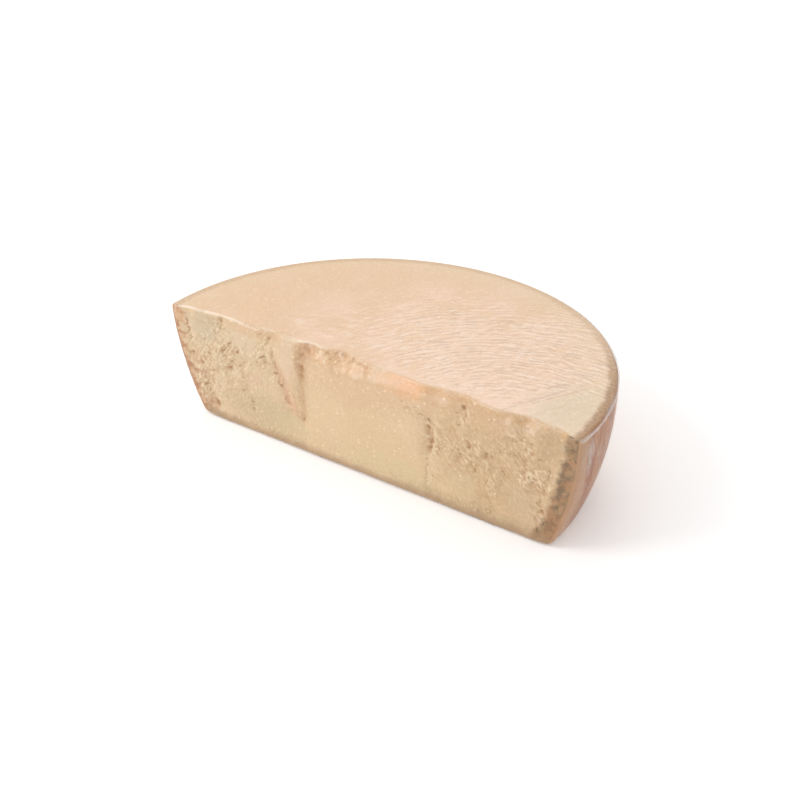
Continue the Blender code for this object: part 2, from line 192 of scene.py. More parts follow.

# Further colours of the cheese as seen, from 0 to 255. Some are painted light: shade and
# highlights of the film's wrinkles, shadow beside its creases, a highlight on the cut's upper
# edge.
TINTS = {
    "pale corner": (213, 195, 165),
    "level rim": (224, 198, 160),
    "painted wrinkle shade": (217, 178, 142),
    "painted wrinkle highlight": (250, 228, 208),
    "painted crease shadow": (205, 166, 134),
    "yellow paste": (213, 183, 141),
    "orange band": (211, 162, 106),
    "painted edge highlight": (252, 234, 214),
    "dull speckle": (196, 158, 122),
    "grain colour and painted shade": (176, 136, 88),
    "brown speck": (170, 128, 86),
    "cut rind dark": (106, 80, 46),
    "cut rind pale": (164, 124, 80),
    "cut rind brown": (164, 108, 60),
    "left rind dark": (172, 116, 76),
    "left rind pale": (206, 164, 126),
    "ring dark": (148, 106, 62),
    "ring pale": (178, 132, 84),
    "base band": (166, 132, 98),
    "side pale": (172, 110, 54),
    "back dark": (172, 122, 76),
    "back pale": (200, 152, 102),
    "side by the cut": (184, 142, 106),
}

# The middle of the circles that the film's fine wrinkles follow, from the wheel's axis.
WRINKLE_CENTRE = (0.178, -0.068)
# Creases of the film on the level cut: width, height and the points of each.
CREASES = (
    (0.0026, 0.0008, ((0.146, -0.004), (0.155, 0.018), (0.166, 0.048), (0.178, 0.064))),
    (0.0020, 0.0007, ((0.151, 0.040), (0.157, 0.052), (0.171, 0.066))),
    (0.0022, 0.0006, ((0.158, 0.014), (0.168, 0.044), (0.190, 0.072))),
)


def smooth_step(low, high, value):
    """Rise from 0 at low to 1 at high, level at both ends. Takes numbers and arrays."""
    part = np.clip((value - low) / (high - low), 0.0, 1.0)
    return part * part * (3.0 - 2.0 * part)


def side_radius(height):
    """The wheel's radius at a height."""
    return RIM_RADIUS - BASE_TAPER * ((HEIGHT - height) / HEIGHT) ** 2


def deselect_all():
    """Leave edit mode and select nothing."""
    if bpy.context.object and bpy.context.object.mode != "OBJECT":
        bpy.ops.object.mode_set(mode="OBJECT")
    bpy.ops.object.select_all(action="DESELECT")


def activate(thing):
    """Select one object alone and make it the active one."""
    deselect_all()
    thing.select_set(True)
    bpy.context.view_layer.objects.active = thing


def apply_modifier(thing, kind, **settings):
    """Add a modifier with its settings and apply it."""
    activate(thing)
    modifier = thing.modifiers.new(kind.title(), kind)
    for name, value in settings.items():
        setattr(modifier, name, value)
    bpy.ops.object.modifier_apply(modifier=modifier.name)


def points_of(thing):
    """The object's points as rows of an array."""
    points = np.empty(len(thing.data.vertices) * 3)
    thing.data.vertices.foreach_get("co", points)
    return points.reshape(-1, 3)


def set_points(thing, points):
    """Move the object's points to the rows of an array."""
    thing.data.vertices.foreach_set("co", points.ravel())
    thing.data.update()


def normals_of(thing):
    """The object's point normals as rows of an array."""
    normals = np.empty(len(thing.data.vertices) * 3, np.float32)
    thing.data.vertex_normals.foreach_get("vector", normals)
    return normals.reshape(-1, 3).astype(float)


def evened(thing, values, rounds, weights=None):
    """Even out one value a point over its neighbours, which count by their weights."""
    ends = np.empty(len(thing.data.edges) * 2, np.int32)
    thing.data.edges.foreach_get("vertices", ends)
    first, second = ends.reshape(-1, 2).T
    weights = np.ones(len(values)) if weights is None else weights + 1e-9
    values = values * weights
    count = len(values)
    degree = np.bincount(first, minlength=count) + np.bincount(second, minlength=count)

    def around(held):
        return np.bincount(first, held[second], count) + np.bincount(second, held[first], count)

    for _ in range(rounds):
        values = (values + around(values) / degree) / 2
        weights = (weights + around(weights) / degree) / 2
    return values / weights


def paint(thing, name, values):
    """Store one number a point on the object, for its material."""
    layer = thing.data.attributes.new(name, "FLOAT", "POINT")
    layer.data.foreach_set("value", values.astype(np.float32))


def noise_at(points, size, seed=0.0):
    """Noise about 0 at each row of points, of a size in metres."""
    shift = Vector((seed, 2.3 * seed, 0.7 * seed))
    return np.array([noise.noise(Vector(point) / size + shift) for point in points])


def smooth_form(name):
    """Copy the sealed solid, merge it, round its faces and close it with flats of one face."""
    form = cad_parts[SEALED].copy()
    form.data = form.data.copy()
    form.parent = None
    form.matrix_world.identity()
    for key in list(form.keys()):
        del form[key]
    form.hide_render = form.hide_viewport = False
    form.name = form.data.name = name
    form.data.materials.clear()
    bpy.context.scene.collection.objects.link(form)
    activate(form)
    bpy.ops.object.mode_set(mode="EDIT")
    bpy.ops.mesh.select_mode(type="FACE")
    bpy.ops.mesh.select_all(action="SELECT")
    bpy.ops.mesh.remove_doubles(threshold=SAME_PLACE)
    bpy.ops.mesh.customdata_custom_splitnormals_clear()
    bpy.ops.mesh.select_all(action="DESELECT")
    bpy.ops.object.mode_set(mode="OBJECT")
    for polygon in form.data.polygons:
        heights = [form.data.vertices[vertex].co.z for vertex in polygon.vertices]
        polygon.select = max(heights) < SAME_PLACE or min(heights) > HEIGHT - SAME_PLACE
    bpy.ops.object.mode_set(mode="EDIT")
    bpy.ops.mesh.delete(type="FACE")
    bpy.ops.mesh.select_all(action="SELECT")
    bpy.ops.mesh.tris_convert_to_quads(face_threshold=QUAD_ANGLE, shape_threshold=QUAD_ANGLE)
    bpy.ops.object.mode_set(mode="OBJECT")
    apply_modifier(form, "SUBSURF", levels=2, render_levels=2)
    bpy.ops.object.mode_set(mode="EDIT")
    bpy.ops.mesh.select_all(action="SELECT")
    bpy.ops.mesh.fill_holes(sides=0)
    bpy.ops.mesh.normals_make_consistent(inside=False)
    bpy.ops.object.mode_set(mode="OBJECT")
    for polygon in form.data.polygons:
        polygon.select = len(polygon.vertices) > FLAT_CORNERS
    bpy.ops.object.mode_set(mode="EDIT")
    for _ in range(2):
        bpy.ops.mesh.inset(thickness=FLAT_RING)
    bpy.ops.object.mode_set(mode="OBJECT")
    bpy.ops.object.shade_smooth()
    return form


def marks(places, heights, table, reach=1.35, core=0.25):
    """The strongest mark of a table at each point, full in its core and gone at its reach."""
    found = np.zeros(len(places))
    for place, height, half_length, half_width, turn, strength in table:
        cosine, sine = math.cos(math.radians(turn)), math.sin(math.radians(turn))
        right, up = places * 1000 - place, heights * 1000 - height
        along = (right * cosine + up * sine) / half_length
        across = (up * cosine - right * sine) / half_width
        away = np.hypot(along, across)
        found = np.maximum(found, strength * (1 - smooth_step(core, reach, away)))
    return found


def crumb_heights(spots, settings):
    """The height of flakes, grains and pits of broken cheese at each point of the cut."""
    turn = np.where(spots[:, 0] < 0, 1.0, -1.0) * FLAKE_LEAN
    along = spots[:, 0] * np.cos(turn) + spots[:, 2] * np.sin(turn)
    across = spots[:, 2] * np.cos(turn) - spots[:, 0] * np.sin(turn)
    leaned = np.column_stack((FLAKE_STRETCH * along, np.zeros(len(spots)), across))
    grain = 0.30 - np.abs(noise_at(leaned, settings.grain_size, seed=3.0))
    fine = noise_at(leaned, settings.grain_size * 0.45, seed=8.0)
    flakes = np.empty(len(spots))
    for index, spot in enumerate(leaned / settings.flake_size):
        distances, centres = noise.voronoi(Vector(spot))
        total = weights = 0.0
        for distance, centre in zip(distances[:3], centres[:3]):
            tilt = 2 * noise.cell_vector(centre * 17.0) - Vector((1.0, 1.0, 1.0))
            weight = max(distance, 0.05) ** FLAKE_POWER
            height = FLAKE_TILT * tilt.dot(Vector(spot) - centre) + FLAKE_STEP * tilt.y
            total += weight * height
            weights += weight
        flakes[index] = total / weights
    return settings.grain_height * (grain + 0.5 * fine) + settings.flake_height * flakes


def break_cut(cheese, settings):
    """Give the cut its flakes, pits and grains, and store how crumbled, deep and pale it is."""
    points, normals = points_of(cheese), normals_of(cheese)
    facing = smooth_step(0.35, 0.75, -normals[:, 1])
    on_cut = np.flatnonzero(facing > 0)
    plain = evened(cheese, points[:, 1], PLAIN_ROUNDS, facing)
    near_right = smooth_step(0.180, 0.200, points[:, 0])
    near_top = smooth_step(HEIGHT - 0.012, HEIGHT - 0.004, points[:, 2])
    kept = np.clip(settings.relief_kept + 0.2 * near_right + 0.35 * near_top, 0.0, 1.0)
    points[:, 1] += facing * (1 - kept) * (plain - points[:, 1])

    spots = points[on_cut] - AXIS
    spots[:, 1] = 0.0
    ragged = spots.copy()
    for size, reach in ((0.0050, 0.0024), (0.0019, 0.0015)):
        ragged[:, 0] += reach * noise_at(spots, size, seed=1.0)
        ragged[:, 2] += reach * noise_at(spots, size, seed=5.0)
    crumbled = marks(ragged[:, 0], ragged[:, 2], CRUMBLED)
    crumbled *= 0.68 + 0.32 * smooth_step(-0.25, 0.20, noise_at(spots, 0.012, seed=2.0))
    hollow = marks(ragged[:, 0], ragged[:, 2], HOLLOWS, reach=1.05)
    flake = marks(ragged[:, 0], ragged[:, 2], FLAKES)
    calm = smooth_step(0.002, 0.007, spots[:, 2]) * smooth_step(0.0, 0.003, HEIGHT - spots[:, 2])
    out = crumbled * crumb_heights(spots, settings)
    out += 0.00010 * noise_at(spots, 0.007, seed=4.0)
    out += settings.flake_height * 0.22 * flake - settings.hollow_depth * hollow
    points[on_cut, 1] -= out * calm * facing[on_cut]
    for polygon in cheese.data.polygons:
        if len(polygon.vertices) > FLAT_CORNERS:
            flat = list(polygon.vertices)
            points[flat, 2] = points[flat, 2].mean()
    set_points(cheese, points)

    depth = points[:, 1] - evened(cheese, points[:, 1], FINE_ROUNDS, facing)
    broad_depth = points[:, 1] - evened(cheese, points[:, 1], BROAD_ROUNDS, facing)
    cavity = (0.6 * depth + 0.4 * broad_depth) / settings.hollow_scale * facing
    for name, values in (("crumbled", crumbled), ("pitted", hollow), ("flaked", flake)):
        layer = np.zeros(len(points))
        layer[on_cut] = values * facing[on_cut]
        paint(cheese, name, layer)
    paint(cheese, "hollow", np.clip(cavity, -1.0, 1.0))


def distance_to_path(places, path):
    """The distance of each place to a path of straight stretches."""
    nearest = np.full(len(places), math.inf)
    for start, end in zip(path, path[1:]):
        start, end = np.array(start), np.array(end)
        along = np.clip((places - start) @ (end - start) / np.sum((end - start) ** 2), 0.0, 1.0)
        foot = start + along[:, None] * (end - start)
        nearest = np.minimum(nearest, np.linalg.norm(places - foot, axis=1))
    return nearest


def shape_film(film, settings):
    """Crease the film over the level cut, fold it along the rim, and store where it whitens, with
    a painted highlight along the fold.
    """
    points, normals = points_of(film), normals_of(film)
    places = points[:, :2] - np.array((AXIS.x, AXIS.y))
    places[:, 0] -= BASE_SHIFT * (1 - points[:, 2] / HEIGHT)
    radius = np.linalg.norm(places, axis=1)
    drop = HEIGHT - points[:, 2]
    on_top = smooth_step(0.7, 0.95, normals[:, 2]) * (points[:, 2] > HEIGHT / 2)
    creases = np.zeros(len(points))
    for width, height, path in CREASES:
        away = distance_to_path(places, path)
        creases = np.maximum(creases, height * (1 - smooth_step(0.0, width, away)))
    moves = on_top * (creases - settings.sink)
    haze_and_glint = 0.35 * on_top * creases / 0.001

    turn = np.degrees(np.arctan2(places[:, 1], places[:, 0]))
    on_side = smooth_step(-0.010, -0.004, radius - side_radius(points[:, 2]))
    on_side *= normals[:, 1] > -0.6
    wander = 0.0008 * np.array([noise.noise(Vector((value / 9.0, 0.0, 0.0))) for value in turn])
    fold = 1 - smooth_step(0.0004, 0.0018, np.abs(drop - FOLD_DROP - wander))
    fold *= on_side * smooth_step(-6, 0, turn) * (1 - smooth_step(58, 78, turn))
    moves += FOLD_HEIGHT * fold
    # The fold's whitening is a painted highlight.
    haze_and_glint = np.maximum(haze_and_glint, fold)
    points += normals * moves[:, None]
    set_points(film, points)
    paint(film, "haze_and_glint", np.clip(haze_and_glint, 0.0, 1.0))


class Number:
    """A number in a material, with Python's operators as Math nodes."""

    def __init__(self, nodes, socket):
        self.nodes, self.socket = nodes, socket

    def math(self, operation, *others):
        node = self.nodes.add("ShaderNodeMath", {"operation": operation},
                              dict(enumerate((self, *others))))
        return Number(self.nodes, node.outputs[0])

    def __add__(self, other):
        return self.math("ADD", other)

    def __sub__(self, other):
        return self.math("SUBTRACT", other)

    def __mul__(self, other):
        return self.math("MULTIPLY", other)

    def __neg__(self):
        return self * -1.0

    def __rsub__(self, other):
        return -self + other

    def sqrt(self):
        return self.math("SQRT")

    def rise(self, low, high):
        """0 at low and 1 at high, level at both ends."""
        node = self.nodes.add("ShaderNodeMapRange", {"interpolation_type": "SMOOTHSTEP"},
                              {"Value": self, "From Min": low, "From Max": high})
        return Number(self.nodes, node.outputs[0])

    __radd__, __rmul__ = __add__, __mul__


class Nodes:
    """The nodes of one material."""

    def __init__(self, name):
        self.material = bpy.data.materials.new(name)
        self.material.use_nodes = True
        self.tree = self.material.node_tree
        self.tree.nodes.clear()
        self.object = self.add("ShaderNodeTexCoord").outputs["Object"]

    def add(self, kind, settings=None, inputs=None):
        """Add a node of a kind, with its settings, then its inputs' values and links."""
        node = self.tree.nodes.new(kind)
        for name, value in (settings or {}).items():
            setattr(node, name, value)
        for name, value in (inputs or {}).items():
            if isinstance(value, Number):
                value = value.socket
            if isinstance(value, bpy.types.NodeSocket):
                self.tree.links.new(value, node.inputs[name])
            else:
                node.inputs[name].default_value = value
        return node

    def number(self, socket):
        return Number(self, socket)

    def axes(self):
        """The object coordinates as three numbers."""
        split = self.add("ShaderNodeSeparateXYZ", None, {0: self.object})
        return [self.number(socket) for socket in split.outputs]

    def attribute(self, name):
        node = self.add("ShaderNodeAttribute", {"attribute_name": name})
        return self.number(node.outputs["Fac"])

    def noise(self, size, detail=2.0, place=None, stretch=(1.0, 1.0, 1.0), turn=(0.0, 0.0, 0.0)):
        """Noise about 0, of a size in metres, stretched along its turned axes."""
        turned = tuple(math.radians(angle) for angle in turn)
        mapped = self.add("ShaderNodeMapping", {"vector_type": "TEXTURE"}, {
            "Vector": place or self.object, "Rotation": turned, "Scale": stretch})
        node = self.add("ShaderNodeTexNoise", None, {
            "Vector": mapped.outputs[0], "Scale": 1.0 / size, "Detail": detail})
        return self.number(node.outputs[0]) - 0.5

    def round_side(self, x, y, height):
        """A place on the round side as if it were unrolled: the way round, then the height."""
        around = y.math("ARCTAN2", x) * RIM_RADIUS
        return self.add("ShaderNodeCombineXYZ", None, {0: around, 1: height}).outputs[0]

    def waves(self, spacing, place):
        """Wavering bands about 0, across the first axis of a place, at a spacing in metres."""
        node = self.add("ShaderNodeTexWave", {"bands_direction": "X"}, {
            "Vector": place, "Scale": math.tau / (20 * spacing), "Distortion": 6.5,
            "Detail": 2.0, "Detail Scale": 2.2})
        return self.number(node.outputs["Fac"]) - 0.5

    def spots(self, size):
        """Distance to the nearest scattered spot, and a random number for each."""
        node = self.add("ShaderNodeTexVoronoi", None, {"Vector": self.object, "Scale": 1.0 / size})
        chance = self.add("ShaderNodeSeparateXYZ", None, {0: node.outputs["Color"]})
        return self.number(node.outputs["Distance"]), self.number(chance.outputs[0])

    def ellipse(self, x, y, middle, half, turn=0.0):
        """How far a point lies from the middle of an ellipse, 1 on its line."""
        cosine, sine = math.cos(math.radians(turn)), math.sin(math.radians(turn))
        right, up = x - middle[0], y - middle[1]
        along = (right * cosine + up * sine) * (1.0 / half[0])
        across = (up * cosine - right * sine) * (1.0 / half[1])
        return (along * along + across * across).sqrt()

    def mix(self, amount, low, high):
        """Mix two colours by an amount."""
        node = self.add("ShaderNodeMix", {"data_type": "RGBA"}, {0: amount, 6: low, 7: high})
        return node.outputs[2]

    def bump(self, height, distance):
        return self.add("ShaderNodeBump", None, {
            "Height": height, "Distance": distance, "Strength": 1.0}).outputs[0]

    def finish(self, surface):
        self.add("ShaderNodeOutputMaterial", None, {"Surface": surface})
        return self.material

    def wrinkles(self, x, y):
        """Fine wrinkles of the film on the level cut, about 0, from the wheel's axis."""
        right, up = x - WRINKLE_CENTRE[0], y - WRINKLE_CENTRE[1]
        drift = self.noise(0.045, 2.0) * 0.016
        across = (right * right + up * up).sqrt() + drift
        along = up.math("ARCTAN2", right) * 0.16 + self.noise(0.03, 1.0) * 0.01
        place = self.add("ShaderNodeCombineXYZ", None, {0: across, 1: along * 0.40}).outputs[0]
        arcs = self.waves(0.0062, place) * self.noise(0.014, 2.0).rise(-0.18, 0.14) * 0.48
        field = self.ellipse(x, y, (0.092, 0.088), (0.172, 0.112), 8.0)
        corner = self.ellipse(x, y, (0.190, 0.010), (0.034, 0.046))
        total = arcs * field.rise(1.15, 0.35) * corner.rise(0.7, 1.2)
        left = self.noise(0.0070, 1.0, stretch=(3.0, 1.0, 1.0), turn=(0.0, 0.0, 25.0))
        left_field = self.ellipse(x, y, (-0.062, 0.040), (0.066, 0.040))
        total = total + left * left_field.rise(1.2, 0.4) * 0.7
        dimples = self.noise(0.0058, 2.0, stretch=(1.8, 1.0, 1.0), turn=(0.0, 0.0, 75.0))
        reach = self.ellipse(x, y, (0.070, 0.080), (0.160, 0.120)).rise(1.1, 0.3)
        return total + dimples * (reach * 0.46 + 0.34)


def linear(red, green, blue, light=1.0):
    """A colour as seen under a light, from 0 to 255, as the linear colour that materials hold."""
    return tuple((value / 255) ** 2.2 / light for value in (red, green, blue)) + (1.0,)


def tint(name):
    """A further colour of the cheese by its name."""
    return linear(*TINTS[name])


def colour_property(name, description, seen):
    """A colour that a user may change."""
    return bpy.props.FloatVectorProperty(
        name=name, description=description, default=linear(*seen), size=4, min=0.0, max=1.0,
        subtype="COLOR")


def length_property(name, description, metres):
    """A length that a user may change."""
    return bpy.props.FloatProperty(
        name=name, description=description, default=metres, min=0.0, precision=5, unit="LENGTH")


class GratingCheeseSettings(bpy.types.PropertyGroup):
    """Sizes and colours of the cheese."""

    film_gap: length_property("Film gap", "How far the cheese lies inside its film", 0.0008)
    relief_kept: bpy.props.FloatProperty(
        name="Relief kept", description="Share of the solid's relief that the cut keeps",
        default=0.36, min=0.0, max=1.0)
    grain_size: length_property("Grain size", "Size of the grains of broken cheese", 0.0032)
    grain_height: length_property("Grain height", "Height of those grains", 0.0011)
    flake_size: length_property("Flake size", "Size of the flakes of broken cheese", 0.0075)
    flake_height: length_property("Flake height", "Height of those flakes", 0.0010)
    hollow_depth: length_property("Hollow depth", "Depth of the pits, cracks and grooves", 0.0008)
    hollow_scale: length_property("Hollow scale", "Depth at which a hollow is darkest", 0.0009)
    paste: colour_property("Paste", "Fresh cut cheese", (218, 187, 149))
    peach: colour_property("Peach", "Cheese of the level cut, drier and pinker", (238, 204, 178))
    straw: colour_property("Straw", "Level cut where it is yellower", (227, 190, 153))
    # Browner cheese and painted shade in pits, cracks and hollows.
    hollow: colour_property("Hollow", "Cheese in pits and cracks", (168, 117, 70))
    # Pale flakes and grains, also painted light on raised spots and on the lit sides of grains.
    pale_and_lit_crest: colour_property("Crest", "Dry edges of flakes and grains", (246, 224, 188))
    crystal: colour_property("Crystal", "Pale crystals in the paste", (250, 228, 194))
    rind: colour_property("Rind", "Natural rind on the side and the base", (148, 80, 28))


class ClearFilmSettings(bpy.types.PropertyGroup):
    """Sizes and finish of the film."""

    mesh_size: length_property("Mesh size", "Size of the film's faces", 0.0019)
    sink: length_property("Sink", "How far the film lies below its creases' reach", 0.0004)
    stand_off: length_property("Stand-off", "Least gap between film and cheese", 0.00025)
    # White of the creased film, also used for the painted highlights and sheen on the film.
    cloud_and_glint: colour_property("Cloud", "Film where it creases white", (252, 248, 244))
    roughness: bpy.props.FloatProperty(
        name="Roughness", description="How much the film blurs what it mirrors", default=0.26,
        min=0.0, max=1.0)


class PaleStudioSettings(bpy.types.PropertyGroup):
    """Camera, lights and floor."""

    azimuth: bpy.props.FloatProperty(
        name="Azimuth", description="Camera's turn round the piece from straight in front",
        default=math.radians(34.52), subtype="ANGLE")
    elevation: bpy.props.FloatProperty(
        name="Elevation", description="Camera's height above the horizon",
        default=math.radians(30.03), subtype="ANGLE")
    distance: length_property("Distance", "Camera's distance from where it looks", 1.32)
    lens: bpy.props.FloatProperty(
        name="Lens", description="Focal length in millimetres", default=64.70)
    sky: bpy.props.FloatProperty(
        name="Sky", description="Strength of the light from all round", default=0.79)
    key: bpy.props.FloatProperty(
        name="Key", description="Power of the soft lamp at the front left in watts", default=8.3)
    back: bpy.props.FloatProperty(
        name="Back", description="Power of the lamp behind the piece in watts", default=3.5)
    floor: colour_property("Floor", "Plain pale floor", (253, 253, 253))


def cheese_material(settings):
    """Pale cheese with rind at its skin, scattered crystals, painted shade in hollows, pale crests
    with painted light.
    """
    nodes = Nodes("grating_cheese")
    x, y, z = nodes.axes()
    level_x = x - AXIS.x - (z * (-1.0 / HEIGHT) + 1.0) * BASE_SHIFT
    level_y = y - AXIS.y
    radius = (level_x * level_x + level_y * level_y).sqrt()
    drop = (z * -1.0 + HEIGHT) * (1.0 / HEIGHT)
    depth = (drop * drop) * -BASE_TAPER + RIM_RADIUS - radius
    cloudy = nodes.noise(0.050, 3.0)
    mottled = nodes.noise(0.012, 3.0)
    fine = nodes.noise(0.0026, 3.0)
    crumbled, hollow = nodes.attribute("crumbled"), nodes.attribute("hollow")
    pitted, flaked = nodes.attribute("pitted"), nodes.attribute("flaked")

    level = HEIGHT - settings.film_gap
    right_hand = level_x.rise(-0.04, 0.02)
    below_border = z - level + 0.0001 + right_hand * 0.0004
    on_top = below_border.rise(-0.0002, 0.0001)
    on_front = y.rise(LOW.y + 0.026, LOW.y + 0.017)
    on_cut = on_front * (1.0 - on_top)

    # The level cut, with the film's wrinkles and creases painted on it as shade and highlights.
    warm = (cloudy * 2.0 + level_x * 2.6 - level_y * 1.6 + 0.62).rise(0.0, 1.0)
    top = nodes.mix(warm, settings.straw, settings.peach)
    pale_corner = nodes.ellipse(level_x, level_y, (0.192, 0.022), (0.040, 0.056)) + mottled * 1.2
    top = nodes.mix(pale_corner.rise(1.3, 0.3) * 0.85, top, tint("pale corner"))
    rim = (radius + mottled * 0.030).rise(RIM_RADIUS - 0.050, RIM_RADIUS - 0.010)
    top = nodes.mix(rim * 0.5, top, tint("level rim"))
    creased = nodes.wrinkles(level_x, level_y)
    # Painted shade in the hollows of the film's wrinkles, and painted highlights on their crests.
    top = nodes.mix((creased * -5.0).rise(0.0, 1.0) * 0.42, top, tint("painted wrinkle shade"))
    top = nodes.mix((creased * 5.0).rise(0.0, 1.0) * 0.40, top, tint("painted wrinkle highlight"))
    # A painted shadow beside each crease of the film.
    for width, _, path in CREASES:
        run, rise = path[-1][0] - path[0][0], path[-1][1] - path[0][1]
        length = math.hypot(run, rise)
        middle = ((path[0][0] + path[-1][0]) / 2 - rise / length * width,
                  (path[0][1] + path[-1][1]) / 2 + run / length * width)
        shade = nodes.ellipse(level_x, level_y, middle, (length * 0.6, 0.0017),
                              math.degrees(math.atan2(rise, run))) + mottled * 2.0
        top = nodes.mix(shade.rise(1.2, 0.3) * 0.7, top, tint("painted crease shadow"))

    # The upright cut: its paste, the band under its upper edge, its soft patches, some of them
    # painted shade, and a painted highlight along its upper edge.
    paste = nodes.mix((cloudy * 1.5 + 0.5).rise(0.2, 0.9), settings.paste, tint("yellow paste"))
    colour = nodes.mix(on_top, paste, top)
    band = (z * -1.0 + (HEIGHT - 0.0085) + mottled * 0.006).rise(0.0015, -0.0015) * on_cut
    band = band * level_x.rise(0.012, 0.030)
    colour = nodes.mix(band * 0.9, colour, tint("orange band"))
    # Patches in the channel, notch, slanted groove and crack hold painted shade as well as colour.
    for place, height, half_length, half_width, turn, strength, seen in PATCHES:
        away = nodes.ellipse(level_x, z, (place / 1000, height / 1000),
                             (half_length / 1000, half_width / 1000), turn) + mottled
        patch = away.rise(1.3, 0.5) * on_cut * strength
        colour = nodes.mix(patch, colour, linear(*seen, CUT_LIGHT))
    # A painted highlight along the cut's upper edge, where the film turns over it.
    edge = (below_border + 0.0004 + fine * 0.0010).math("ABSOLUTE").rise(0.0011, 0.0002)
    edge = edge * z.rise(level, level - 0.0001)
    edge = edge * (cloudy * 3.0 + mottled * 1.5 + 0.6).rise(0.0, 1.0)
    colour = nodes.mix(edge * on_front * (0.8 - right_hand * 0.45), colour, tint("painted edge highlight"))

    # Crystals, speckles, the grain of crumbled cheese, painted shade in hollows, pale crests with
    # painted light.
    near, chance = nodes.spots(0.0058)
    crystals = (near + fine * 0.30).rise(0.28, 0.08) * chance.rise(0.10, 0.80)
    colour = nodes.mix(crystals * 0.50, colour, settings.crystal)
    speckle = nodes.noise(0.0016, 2.0)
    dull = (speckle * 3.0 + fine * 1.6 + 0.5).rise(0.0, 1.0)
    colour = nodes.mix(dull * 0.16, colour, tint("dull speckle"))
    pale = (fine * 2.4 - speckle * 2.0 + 0.5).rise(0.2, 1.0)
    colour = nodes.mix(pale * 0.16, colour, settings.pale_and_lit_crest)
    up_right = nodes.noise(0.0022, 2.0, stretch=(2.4, 1.0, 1.0), turn=(0.0, -55.0, 0.0))
    down_right = nodes.noise(0.0022, 2.0, stretch=(2.4, 1.0, 1.0), turn=(0.0, 45.0, 0.0))
    leaning = up_right * (1.0 - right_hand) + down_right * right_hand
    # Leaning grain of crumbled cheese: partly its own colour, partly painted shade and painted
    # light.
    grainy = leaning * 3.4 + fine * 1.2 + mottled * 0.8
    colour = nodes.mix(grainy.rise(0.0, 0.7) * crumbled * 0.70, colour, tint("grain colour and painted shade"))
    colour = nodes.mix((-grainy).rise(0.0, 0.7) * crumbled * 0.55, colour, settings.pale_and_lit_crest)
    near, chance = nodes.spots(0.0044)
    specks = (near + fine * 0.30).rise(0.36, 0.12) * chance.rise(0.40, 0.80)
    colour = nodes.mix(specks * crumbled * 0.80, colour, tint("brown speck"))
    # Painted shade in the listed pits over their browner cheese, then in every hollow of the
    # relief.
    colour = nodes.mix(pitted.rise(0.10, 1.5) * 0.70, colour, settings.hollow)
    below_edge = z.rise(HEIGHT - 0.006, HEIGHT - 0.014) * 0.6 + 0.4
    painted_cavity_shade = hollow.rise(0.10, 1.0) * (crumbled * 0.6 + 0.3) * below_edge
    colour = nodes.mix(painted_cavity_shade, colour, settings.hollow)
    # Painted light on raised spots of the relief, then paler flakes.
    colour = nodes.mix((-hollow).rise(0.10, 0.9) * crumbled * 0.55, colour, settings.pale_and_lit_crest)
    colour = nodes.mix(flaked.rise(0.1, 1.0) * 0.22, colour, settings.pale_and_lit_crest)

    # Rind where a cut goes through it: an end of the upright cut, a ring on the level cut.
    right = level_x.rise(-0.02, 0.16)
    thickness = right * (drop * 0.0070 + 0.0055) * on_cut + on_top * 0.0020 + 0.0078
    knobs = nodes.noise(0.0065, 3.0)
    left_end = level_x.rise(-0.08, -0.16)
    ragged = mottled * 0.008 + fine * 0.004 + knobs * (0.008 + left_end * 0.010)
    cut_through = (depth + ragged - thickness).rise(0.0046, -0.0040)
    lumps = knobs * 3.2 + fine * 1.2 + 0.5
    rind_cut = nodes.mix(lumps.rise(0.0, 1.0), tint("cut rind dark"), tint("cut rind pale"))
    browner = (nodes.noise(0.010, 2.0) * 5.0 + drop * 1.1 - 0.1).rise(0.1, 1.0)
    rind_cut = nodes.mix(browner * 0.5, rind_cut, tint("cut rind brown"))
    left_rind = nodes.mix((knobs * 5.0 + 0.5).rise(0.1, 0.9), tint("left rind dark"),
                          tint("left rind pale"))
    rind_cut = nodes.mix(left_end, rind_cut, left_rind)
    ring = nodes.mix((fine * 2.0 + 0.5).rise(0.0, 1.0), tint("ring dark"), tint("ring pale"))
    rind_colour = nodes.mix(on_top, rind_cut, ring)
    far = (level_y * 7.0 - level_x * 6.0).rise(-0.9, 0.5)
    on_ring = (depth + mottled * 0.006 + fine * 0.003 - thickness).rise(0.0030, -0.0030)
    cut_through = cut_through * (1.0 - on_top) + on_ring * on_top
    colour = nodes.mix(cut_through * (1.0 - far * on_top * 0.70) * 0.9, colour, rind_colour)
    # Darker towards the base: partly rind at the foot of the cut, partly painted shade.
    base_band = (z + mottled * 0.009).rise(0.0125, 0.0020) * on_cut
    colour = nodes.mix(base_band * 0.85, colour, tint("base band"))

    # The skin of the round side, streaked upright, and plainer at the back.
    streaks = nodes.noise(0.013, 4.0, nodes.round_side(level_x, level_y, z * 0.30))
    back = level_y.rise(0.060, 0.140)
    tone = streaks * (back * -1.6 + 2.4) + mottled * back * 1.8 + cloudy * 2.0 + 0.5
    skin_colour = nodes.mix(tone.rise(0.1, 0.9), settings.rind, tint("side pale"))
    back_colour = nodes.mix(tone.rise(0.0, 1.0), tint("back dark"), tint("back pale"))
    skin_colour = nodes.mix(back, skin_colour, back_colour)
    near_corner = (y + mottled * 0.010).rise(LOW.y + 0.030, LOW.y + 0.016)
    skin_colour = nodes.mix(near_corner * 0.85, skin_colour, tint("side by the cut"))
    on_skin = depth.rise(0.0040, 0.0022) * (1.0 - on_top)
    colour = nodes.mix(on_skin, colour, skin_colour)

    knobbly = cut_through * (1.0 - on_top) * knobs * 2.4
    relief = fine * crumbled * 1.2 + fine * 0.3 + creased * on_top * 1.8 + knobbly
    shader = nodes.add("ShaderNodeBsdfPrincipled", None, {
        "Base Color": colour, "Roughness": mottled * 0.2 + 0.55,
        "Normal": nodes.bump(relief, 0.0008), "Specular IOR Level": 0.3})
    return nodes.finish(shader.outputs[0])


